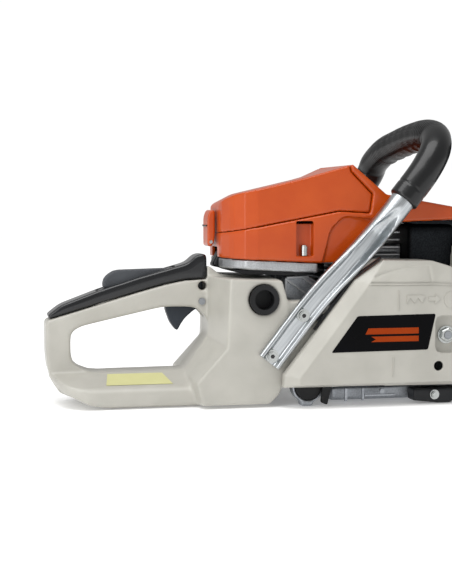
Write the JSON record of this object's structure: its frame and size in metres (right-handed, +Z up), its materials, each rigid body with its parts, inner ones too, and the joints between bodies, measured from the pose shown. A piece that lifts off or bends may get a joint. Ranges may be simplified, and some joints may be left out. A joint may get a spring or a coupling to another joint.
{
  "type": "petrol chainsaw",
  "caption": "Petrol chainsaw with a rear tank handle, a bent aluminium front handle, orange engine covers, a pale clutch cover, a sprocket-nose bar and its chain",
  "frame": {"origin": "on the ground, straight below the crankshaft, on the engine's middle plane; the crankcase foot lies there", "axes": "+X forward along the guide bar, +Y to the operator's left, +Z up"},
  "size_m": [0.8268, 0.2173, 0.2908],
  "materials": {
    "beige_plastic": "moulded nylon, satin gloss",
    "orange_plastic": "moulded nylon, glossy",
    "black_plastic": "moulded nylon, fine texture",
    "black_rubber": "moulded rubber, matt",
    "crankcase_casting": "die-cast light alloy, shot-blasted",
    "silver_casting": "die-cast light alloy, painted silver",
    "handle_tube": "drawn aluminium tube, brushed",
    "steel": "ground steel",
    "bar_steel": "hardened bar steel, ground along its length",
    "zinc_fastener": "zinc-plated steel",
    "bronze": "sintered bronze",
    "muffler_paint": "heat-resistant black paint on pressed steel",
    "rope": "braided cord"
  },
  "bodies": {
    "root": {"tank_housing": "beige_plastic", "clutch_cover": "beige_plastic", "starter_housing": "beige_plastic", "filter_cover": "orange_plastic", "cylinder_shroud": "orange_plastic", "handle_cover": "black_plastic", "air_filter": "black_plastic", "ignition_coil": "black_plastic", "chain_catcher": "black_plastic", "rear_buffer_right": "black_rubber", "rear_buffer_left": "black_rubber", "front_buffer_right": "black_rubber", "front_handle_grip": "black_rubber", "intake_boot": "black_rubber", "spark_plug_boot": "black_rubber", "crankcase_right": "crankcase_casting", "crankcase_left": "crankcase_casting", "cylinder": "crankcase_casting", "air_box": "silver_casting", "carburettor": "silver_casting", "piston": "silver_casting", "front_handle_tube": "handle_tube", "piston_pin": "steel", "connecting_rod": "steel", "main_bearing_right": "steel", "main_bearing_left": "steel", "spark_plug": "steel", "brake_band": "steel", "tensioner_screw": "steel", "bumper_spikes": "steel", "bar_stud_rear": "steel", "bar_stud_front": "steel", "trigger_pin": "steel", "lockout_pin": "steel", "saw_chain": "steel", "guide_bar": "bar_steel", "bar_nut_rear": "zinc_fastener", "bar_nut_front": "zinc_fastener", "handle_screw_upper": "zinc_fastener", "handle_screw_lower": "zinc_fastener", "shroud_screw": "zinc_fastener", "oil_pump": "bronze", "muffler": "muffler_paint", "starter_rope": "rope"},
    "crank": {"crankshaft": "steel", "flywheel": "silver_casting", "clutch_hub": "steel"},
    "drum": {"clutch_drum": "steel"},
    "nose_wheel": {"nose_sprocket": "steel"},
    "pulley": {"starter_pulley": "black_plastic"},
    "pull": {"starter_handle": "black_plastic"},
    "trigger": {"throttle_trigger": "black_plastic"},
    "rod": {"throttle_rod": "steel"},
    "lockout": {"throttle_lockout": "black_plastic"},
    "guard": {"hand_guard": "black_plastic"},
    "fuel_lid": {"fuel_cap": "black_plastic"},
    "oil_lid": {"oil_cap": "black_plastic"},
    "latch": {"latch_lever": "orange_plastic"},
    "choke": {"choke_knob": "black_plastic"},
    "stop": {"stop_switch": "black_plastic"}
  },
  "joints": [
    {"name": "crank_spin", "type": "hinge", "parent": "root", "child": "crank", "pos_m": [0, 0, 0.071], "axis": [0, 1, 0], "continuous": true},
    {"name": "drum_spin", "type": "hinge", "parent": "root", "child": "drum", "pos_m": [0, -0.065, 0.071], "axis": [0, 1, 0], "continuous": true},
    {"name": "nose_spin", "type": "hinge", "parent": "root", "child": "nose_wheel", "pos_m": [0.47055, -0.053, 0.071], "axis": [0, 1, 0], "continuous": true},
    {"name": "starter_pull", "type": "slide", "parent": "root", "child": "pull", "axis": [0, 0, 1], "range_m": [0, 0.4], "stiffness_N_per_m": 10, "springref_m": -0.05, "deforming": ["starter_rope"]},
    {"name": "pulley_spin", "type": "hinge", "parent": "root", "child": "pulley", "pos_m": [0, 0.073, 0.071], "axis": [0, 1, 0], "range_deg": [0, 1092]},
    {"name": "trigger_pull", "type": "hinge", "parent": "root", "child": "trigger", "pos_m": [-0.163, 0, 0.103], "axis": [0, 1, 0], "range_deg": [0, 18], "stiffness_Nm_per_rad": 0.1, "springref_deg": -11.46},
    {"name": "rod_slide", "type": "slide", "parent": "root", "child": "rod", "axis": [1, 0, 0], "range_m": [0, 0.0066]},
    {"name": "lockout_press", "type": "hinge", "parent": "root", "child": "lockout", "pos_m": [-0.162, 0, 0.119], "axis": [0, -1, 0], "range_deg": [0, 8], "stiffness_Nm_per_rad": 0.1, "springref_deg": -17.19},
    {"name": "guard_tilt", "type": "hinge", "parent": "root", "child": "guard", "pos_m": [0.108, 0, 0.156], "axis": [0, 1, 0], "range_deg": [0, 25]},
    {"name": "fuel_cap_turn", "type": "hinge", "parent": "root", "child": "fuel_lid", "pos_m": [-0.125, 0.08, 0.05], "axis": [0, 1, 0], "range_deg": [0, 270]},
    {"name": "oil_cap_turn", "type": "hinge", "parent": "root", "child": "oil_lid", "pos_m": [0.098, 0.046, 0.042], "axis": [0, 1, 0], "range_deg": [0, 270]},
    {"name": "latch_open", "type": "hinge", "parent": "root", "child": "latch", "pos_m": [-0.1525, 0, 0.164], "axis": [0, -1, 0], "range_deg": [0, 70]},
    {"name": "choke_pull", "type": "slide", "parent": "root", "child": "choke", "axis": [-1, 0, 0], "range_m": [0, 0.005]},
    {"name": "stop_slide", "type": "slide", "parent": "root", "child": "stop", "axis": [1, 0, 0], "range_m": [0, 0.004]}
  ],
  "couplings": [
    {"joint": "nose_spin", "follows": "drum_spin", "ratio": 0.8},
    {"joint": "pulley_spin", "follows": "starter_pull", "rad_per_m": 47.6},
    {"joint": "rod_slide", "follows": "trigger_pull", "m_per_rad": 0.02}
  ]
}
